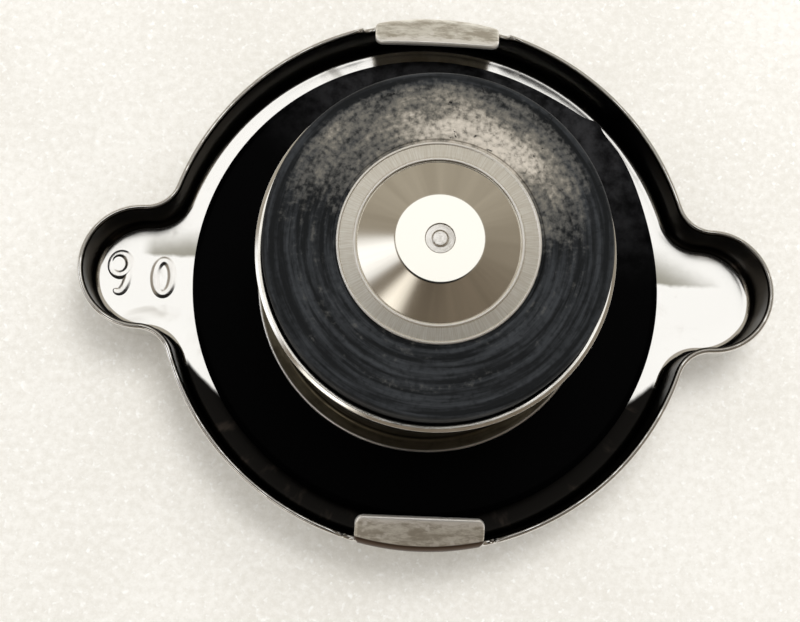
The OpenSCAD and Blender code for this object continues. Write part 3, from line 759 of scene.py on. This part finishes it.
# zero: an ellipse; nine: a smaller ellipse, and from its right side an arc down to the left
def digitGrids(d):
    a = np.linspace(0, fullTurn, d["loopSteps"], endpoint=False)[:, None]
    w, h = d["zeroSize"]
    zero = np.array(d["zeroAt"]) + np.concatenate([w / 2 * np.cos(a), h / 2 * np.sin(a)], axis=1)
    w, h = d["nineSize"]
    place, middle = np.array(d["nineAt"]), d["bowlUp"] * h
    bowl = place + np.concatenate([w / 2 * np.cos(a), middle + d["bowlHalf"] * h * np.sin(a)], axis=1)
    b = np.radians(np.linspace(d["tailFrom"], d["tailTo"], d["tailSteps"]))[:, None]
    tail = place + np.concatenate([w / 2 * np.cos(b), middle - d["tailHalf"] * h * np.sin(b)], axis=1)
    return joinGrids(strokeGrid(zero, d, True), strokeGrid(bowl, d, True),
                     strokeGrid(tail, d, False, d["tailDrop"]))


addPiece("earNumerals", digitGrids(digits), numeralSteel, "cap", "cap_shell", "shell_steel")

# corners of the turned pieces: radius, height, rounding
crownRivet = {
    "corners": [(0.0, 0.1, 0.01), (4.5, 0.1, 0.2), (4.5, 0.95, 0.1), (3.0, 0.95, 0.05), (3.0, 1.65, 0.05),
                (2.3, 1.65, 0.03), (2.3, 2.6, 0.03), (4.5, 2.6, 0.05), (4.5, 3.1, 0.15), (2.3, 3.8, 0.6),
                (0.0, 3.8, 0.01)],
    "turns": 96,
}
springDisc = {
    "corners": [(2.3, 1.65, 0.05), (23.4, 1.65, 0.1), (23.4, 2.0, 0.1), (2.3, 2.0, 0.05)],
    "turns": 192,
}
topGasket = {
    "corners": [(15.8, 2.0, 0.1), (23.9, 2.0, 0.15), (23.9, 2.85, 0.2), (23.3, 3.2, 0.5), (17.3, 3.2, 0.06),
                (17.3, 3.05, 0.03), (15.8, 3.05, 0.08)],
    "turns": 360, "bulgeAt": 40, "bulgeWide": 15, "bulgeOut": 0.85, "bulgeFrom": 22.0, "bulgeRun": 1.5,
    "flapAt": 46, "flapWide": 2.2, "flapOut": 0.5,
}


# gasket: turned profile whose outer edge is pulled out in a wide bell-shaped bulge with a narrow flap on it
def gasketGrid(g):
    points, faces = revolve(roundedLoop(g["corners"]), g["turns"])
    r, a = np.hypot(points[:, 0], points[:, 1]), np.degrees(np.arctan2(points[:, 1], points[:, 0]))
    pull = g["bulgeOut"] * np.exp(-((a - g["bulgeAt"]) / g["bulgeWide"]) ** 2)
    pull = pull + g["flapOut"] * np.exp(-((a - g["flapAt"]) / g["flapWide"]) ** 2)
    grow = 1 + pull * np.clip((r - g["bulgeFrom"]) / g["bulgeRun"], 0, 1) / r
    points[:, :2] *= grow[:, None]
    return points, faces


addTurned("crownRivet", crownRivet, plainSteel, "housing", "crown_rivet", "plain_steel")
addTurned("springDisc", springDisc, springSteel, "housing", "spring_disc", "spring_steel")
addPiece("topGasket", gasketGrid(topGasket), gasketRubber, "housing", "top_gasket", "gasket_rubber")


springHousing = {
    "radius": 15.7, "sheet": 0.6, "base": 2.0, "top": 15.5, "lip": 12.4, "bore": 2.3, "corner": 0.8,
    "flange": 17.2, "flangeLow": 3.05, "flangeEdge": 0.22, "flangeRoot": 0.5, "baseRing": 6.0,
    "windowLow": 6.6, "windowHigh": 10.6, "windowWide": 5.0, "wallSteps": 6, "windowSteps": 7,
    "spanSteps": 81, "gapSteps": 11, "edgeSteps": 7, "cornerSteps": 9,
    "hold": 0.1, "holdLow": 0.05, "holdHigh": 0.06,  # points that keep the flats flat
}


# can with a turned-in lip: base, round lower corner, flange, outer wall, round upper corner, lip, inner wall
# and base; the wall rows carry the same heights inside and outside, so that the cells of each window can be
# left out and its frame closed between the two walls
def housingGrid(h):
    outer, inner = h["radius"], h["radius"] - h["sheet"]
    big, small, hold = h["corner"], h["corner"] - h["sheet"], h["hold"]
    low, high, corner = h["base"] + big, h["top"] - big, outer - big
    floor, roof = h["base"] + h["sheet"], h["top"] - h["sheet"]
    e, f = h["flangeEdge"], h["flangeRoot"]
    brim, flangeLow, flangeTop = h["flange"] - e, h["flangeLow"], h["flangeLow"] + h["sheet"]
    turn = np.linspace(0, quarterTurn, h["edgeSteps"])
    arc = np.linspace(0, quarterTurn, h["cornerSteps"])[1:-1]
    steps, windowSteps = h["wallSteps"], h["windowSteps"]
    wall = np.concatenate([np.linspace(flangeTop + f + hold, h["windowLow"], steps),
                           np.linspace(h["windowLow"], h["windowHigh"], windowSteps)[1:],
                           np.linspace(h["windowHigh"], high, steps)[1:]])
    belowWall = [  # radii and heights
        ([h["bore"], h["baseRing"], corner - hold, corner], [h["base"]] * 4),
        (corner + big * np.sin(arc), low - big * np.cos(arc)),
        ([outer, brim - h["holdLow"]], [flangeLow] * 2),
        (brim + e * np.sin(turn), flangeLow + e - e * np.cos(turn)),
        (brim + e * np.cos(turn), flangeTop - e + e * np.sin(turn)),
        ([brim - h["holdHigh"], outer + f + h["holdHigh"]], [flangeTop] * 2),
        (outer + f - f * np.sin(turn), flangeTop + f - f * np.cos(turn))]
    aboveWall = [
        (corner + big * np.cos(arc), high + big * np.sin(arc)),
        ([corner, corner - hold, h["lip"] + hold, h["lip"]], [h["top"]] * 3 + [h["top"] - hold]),
        ([h["lip"], h["lip"] + hold, corner], [roof + hold, roof, roof]),
        (corner + small * np.sin(arc), high + small * np.cos(arc))]
    inside = [
        (0 * wall + inner, wall[::-1]),
        (corner + small * np.cos(arc), low - small * np.sin(arc)),
        ([corner, h["baseRing"], h["bore"]], [floor] * 3)]
    section = belowWall + [(0 * wall + outer, wall)] + aboveWall + inside
    r, z = [np.concatenate([part[k] for part in section]) for k in (0, 1)]
    half = np.arcsin(h["windowWide"] / 2 / outer)
    span = np.linspace(half, np.pi - half, h["spanSteps"])[1:]
    gap = np.linspace(np.pi - half, np.pi + half, h["gapSteps"])[1:]
    a = np.concatenate([span, gap, span + np.pi, gap + np.pi])[:, None]
    points = np.stack([r * np.cos(a), r * np.sin(a), z + 0 * a], axis=-1)

    rows, cols = len(a), len(r)
    cells = gridFaces(rows, cols).reshape(rows, cols, 4)
    first = sum(len(part[0]) for part in belowWall)
    lowRow = first + steps - 1
    highRow = lowRow + windowSteps - 1
    innerLast = cols - 1 - sum(len(part[0]) for part in inside[1:])

    def mirror(k):  # the row of the inner wall at the height of an outer row
        return innerLast + first - k

    def at(i, k):
        return (i % rows) * cols + k

    def through(i, k):
        return at(i, mirror(k))

    def quads(*corners):
        return np.stack(corners, axis=-1).reshape(-1, 4)
    windowStart = np.array([len(span) - 1, len(span) + len(gap) + len(span) - 1])
    i = (windowStart[:, None] + np.arange(len(gap))[None, :]) % rows
    keep = np.ones((rows, cols), bool)
    for start, end in ((lowRow, highRow), (mirror(highRow), mirror(lowRow))):
        keep[i.ravel()[:, None], np.arange(start, end)[None, :]] = False
    k = np.arange(lowRow, highRow)[None, :]
    left, right = windowStart[:, None], windowStart[:, None] + len(gap)
    frames = [
        quads(at(left, k), at(left, k + 1), through(left, k + 1), through(left, k)),
        quads(at(right, k + 1), at(right, k), through(right, k), through(right, k + 1)),
        quads(at(i + 1, lowRow), at(i, lowRow), through(i, lowRow), through(i + 1, lowRow)),
        quads(at(i, highRow), at(i + 1, highRow), through(i + 1, highRow), through(i, highRow))]
    faces = np.concatenate([cells[keep]] + frames)
    return points.reshape(-1, 3), faces


addPiece("springHousing", housingGrid(springHousing), housingSteel,
         "housing", "spring_housing", "housing_steel")

pressureSpring = {"wire": 1.9, "radius": 10.25, "low": 2.6, "length": 16.3, "turns": 4.5, "lift": 3.5}
coilPiece = addPiece("pressureSpring", coil(pressureSpring), springSteel,
                     "housing", "pressure_spring", "spring_steel")
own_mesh(coilPiece)

springSeat = {
    "corners": [(4.2, 18.9, 0.1), (11.5, 18.9, 0.3), (11.5, 14.25, 0.6), (13.6, 14.25, 0.15),
                (13.6, 14.85, 0.15), (12.1, 14.85, 0.2), (12.1, 19.5, 0.6), (4.2, 19.5, 0.1)],
    "turns": 192,
}
sealCup = {
    "corners": [(4.2, 19.5, 0.1), (16.3, 19.5, 0.7), (16.3, 20.96, 0.05), (16.02, 21.1, 0.05),
                (15.7, 21.1, 0.1), (15.7, 20.1, 0.2), (4.2, 20.1, 0.1)],
    "turns": 256,
}
sealEyelet = {
    "corners": [(3.5, 18.3, 0.15), (6.4, 18.3, 0.2), (6.4, 18.9, 0.1), (4.2, 18.9, 0.03), (4.2, 21.9, 0.03),
                (6.4, 21.9, 0.1), (6.4, 22.5, 0.2), (3.5, 22.5, 0.25)],
    "turns": 96,
}
addTurned("springSeat", springSeat, plainSteel, "pressure_valve", "spring_seat", "plain_steel")
addTurned("sealCup", sealCup, cupSteel, "pressure_valve", "seal_cup", "plain_steel")
addTurned("sealEyelet", sealEyelet, plainSteel, "pressure_valve", "seal_eyelet", "plain_steel")

pressureSeal = {
    "corners": [(4.2, 20.1, 0.1), (15.5, 20.1, 0.15), (15.5, 24.9, 0.5), (9.3, 24.9, 0.1), (9.3, 24.75, 0.04),
                (6.8, 24.75, 0.15), (6.8, 21.9, 0.2), (4.2, 21.9, 0.1)],
    "turns": 256, "step": 0.22, "face": 24.9, "faceGap": 0.01, "faceFrom": 9.6, "faceTo": 15.2,
    "faceSoft": 0.8, "ringDeep": 0.05, "ringGap": 1.15, "ringSway": 0.6, "pucker": 0.05,
    "waves": ((3, 0.7), (7, -0.9)),
}


# rubber seal: turned profile whose face sinks in shallow worn rings and slow waves round the axis
def sealGrid(s):
    points, faces = revolve(fineLoop(roundedLoop(s["corners"]), s["step"]), s["turns"])
    r, a = np.hypot(points[:, 0], points[:, 1]), np.arctan2(points[:, 1], points[:, 0])
    soft, upper = s["faceSoft"], points[:, 2] > s["face"] - s["faceGap"]
    onFace = np.clip((r - s["faceFrom"]) / soft, 0, 1) * np.clip((s["faceTo"] - r) / soft, 0, 1) * upper
    ring = 0.5 + 0.5 * np.cos(fullTurn * r / s["ringGap"] + s["ringSway"] * np.sin(a))
    wave = 0.5
    for count, twist in s["waves"]:
        wave = wave + 0.25 * np.sin(count * a + twist * r)
    points[:, 2] -= onFace * (s["ringDeep"] * ring * (0.5 - 0.5 * np.sin(a)) + s["pucker"] * wave)
    return points, faces


addPiece("pressureSeal", sealGrid(pressureSeal), sealRubber, "pressure_valve", "pressure_seal", "seal_rubber")

vacuumSpring = {"wire": 0.6, "radius": 4.3, "low": 11.1, "length": 7.2, "turns": 5.5, "lift": 2.5}
coilPiece = addPiece("vacuumSpring", coil(vacuumSpring), springSteel,
                     "pressure_valve", "vacuum_spring", "spring_steel")
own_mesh(coilPiece)

vacuumDish = {
    "corners": [(1.3, 26.2, 0.05), (3.9, 26.2, 0.5), (6.6, 24.8, 0.1), (9.0, 24.8, 0.06), (9.0, 25.12, 0.09),
                (8.82, 25.14, 0.08), (8.72, 25.07, 0.06), (7.56, 25.20, 0.06), (7.46, 25.33, 0.07),
                (7.3, 25.33, 0.08), (7.2, 25.14, 0.05), (3.9, 26.7, 0.5), (1.3, 26.7, 0.04)],
    "turns": 256, "segments": 8,
}
vacuumStem = {
    "corners": [(0.0, 9.9, 0.01), (1.8, 9.9, 0.2), (1.8, 10.5, 0.1), (1.3, 10.5, 0.03), (1.3, 25.2, 0.03),
                (1.8, 25.2, 0.1), (1.8, 26.2, 0.05), (1.3, 26.2, 0.03), (1.3, 26.55, 0.06),
                (0.75, 26.55, 0.08), (0.62, 26.68, 0.1), (0.0, 26.68, 0.01)],
    "turns": 96,
}
springRetainer = {
    "corners": [(1.3, 10.5, 0.05), (5.2, 10.5, 0.15), (5.2, 11.1, 0.15), (1.3, 11.1, 0.05)],
    "turns": 96,
}
addTurned("vacuumDish", vacuumDish, dishSteel, "vacuum_valve", "vacuum_dish", "dish_steel")
addTurned("vacuumStem", vacuumStem, plainSteel, "vacuum_valve", "vacuum_stem", "plain_steel")
addTurned("springRetainer", springRetainer, plainSteel, "vacuum_valve", "spring_retainer", "plain_steel")
print("cap built")


stage = {"floorHalf": 4000.0, "floorDrop": 0.05}
half, drop = stage["floorHalf"] * mm, stage["floorDrop"] * mm
floorMesh = bpy.data.meshes.new("floor")
floorCorners = [(x * half, y * half, -drop) for x, y in ((-1, -1), (1, -1), (1, 1), (-1, 1))]
floorMesh.from_pydata(floorCorners, [], [(0, 1, 2, 3)])
floorMesh.materials.append(makeFloorFinish(floorFinish))
floor = bpy.data.objects.new("floor", floorMesh)
bpy.context.scene.collection.objects.link(floor)

# patches of the room: tilt from overhead, azimuth, inner and outer half angle; the panel's and walls' limits
# are components of the direction that a mirror looks in
room = {
    "pale": tone(0.80, 0.79, 0.77), "south": tone(0.21, 0.175, 0.135), "north": tone(0.48, 0.44, 0.37),
    "horizonSouth": tone(0.22, 0.17, 0.12), "horizonNorth": tone(0.80, 0.78, 0.74),
    "northFrom": (-0.6, 0.9), "horizonNorthFrom": (-0.6, 0.3), "horizonFrom": (0.30, 0.08),
    "panel": tone(1.22, 1.21, 1.18), "panelWide": (0.40, 0.30), "panelNear": (0.06, 0.10),
    "panelFar": (0.50, 0.36), "panelHigh": (0.5, 0.6),
    "shade": (15, -92, 20, 27), "shadeTone": tone(0.010, 0.009, 0.008),
    "window": (54, 184, 8, 19), "windowTone": tone(1.55, 1.58, 1.64),
    "slit": (50, -131, 6, 13), "slitTone": tone(1.9, 1.84, 1.74),
}


# soft round patch of the room: 1 within the first angle of its direction, 0 beyond the second
def roomPatch(look, tilt, azimuth, inner, outer):
    t, a = math.radians(tilt), math.radians(azimuth)
    centre = (math.sin(t) * math.cos(a), math.sin(t) * math.sin(a), math.cos(t))
    near = vector("DOT_PRODUCT", look, centre, out="Value")
    return ease(near, math.cos(math.radians(outer)), math.cos(math.radians(inner)))


# plain pale surroundings; mirrors see brown-grey walls, paler to the north and near the horizon,
# a dark patch in the south, a bright ceiling panel, a window and a slit of light
def makeRoom(r):
    world = bpy.data.worlds.new("room")
    world.use_nodes = True
    tree = world.node_tree
    look = addNode("ShaderNodeTexCoord", tree=tree).outputs["Generated"]
    axes = addNode("ShaderNodeSeparateXYZ", {0: look}).outputs
    colour = blend(ease(axes[1], *r["northFrom"]), r["south"], r["north"])
    horizon = blend(ease(axes[1], *r["horizonNorthFrom"]), r["horizonSouth"], r["horizonNorth"])
    colour = blend(ease(axes[2], *r["horizonFrom"]), colour, horizon)
    colour = blend(roomPatch(look, *r["shade"]), colour, r["shadeTone"])
    side = ease(calc("ABSOLUTE", axes[0]), *r["panelWide"])
    depth = band(axes[1], r["panelNear"], r["panelFar"])
    overhead = times(ease(axes[2], *r["panelHigh"]), times(side, depth))
    colour = blend(overhead, colour, r["panel"])
    for patch in ("window", "slit"):
        colour = blend(roomPatch(look, *r[patch]), colour, r[patch + "Tone"])
    mirrorRay = addNode("ShaderNodeLightPath", tree=tree).outputs["Is Glossy Ray"]
    fillSockets(tree.nodes["Background"], {"Color": blend(mirrorRay, r["pale"], colour)})
    bpy.context.scene.world = world


makeRoom(room)

softLamp = {"place": (90, 190, 420), "aim": (0, 0, 0), "size": 240, "power": 1.0}
lampData = bpy.data.lights.new("softLamp", "AREA")
lampData.shape = "DISK"
lampData.size = softLamp["size"] * mm
lampData.energy = softLamp["power"]
lamp = bpy.data.objects.new("softLamp", lampData)
lampPlace = Vector(softLamp["place"]) * mm
lamp.location = lampPlace
lamp.rotation_euler = (Vector(softLamp["aim"]) * mm - lampPlace).to_track_quat("-Z", "Y").to_euler()
lamp.visible_glossy = False
bpy.context.scene.collection.objects.link(lamp)

photoCamera = {
    "place": (-6.43, -24.58, 144.52), "aim": (-2.493, -2.385, 0.0), "up": (-0.0434, 0.9877, 0.1505),
    "lens": 63.0, "sensor": 36.0, "nearest": 5.0,
}
cameraData = bpy.data.cameras.new("photoCamera")
cameraData.lens = photoCamera["lens"]
cameraData.sensor_width = photoCamera["sensor"]
cameraData.clip_start = photoCamera["nearest"] * mm
cameraObject = bpy.data.objects.new("photoCamera", cameraData)
place = Vector(photoCamera["place"]) * mm
back = (place - Vector(photoCamera["aim"]) * mm).normalized()
right = Vector(photoCamera["up"]).cross(back).normalized()
turn = Matrix((right, back.cross(right), back)).transposed()
cameraObject.matrix_world = Matrix.Translation(place) @ turn.to_4x4()
bpy.context.scene.collection.objects.link(cameraObject)
bpy.context.scene.camera = cameraObject
bpy.context.scene.view_settings.view_transform = "Standard"
print("stage, light and camera set")
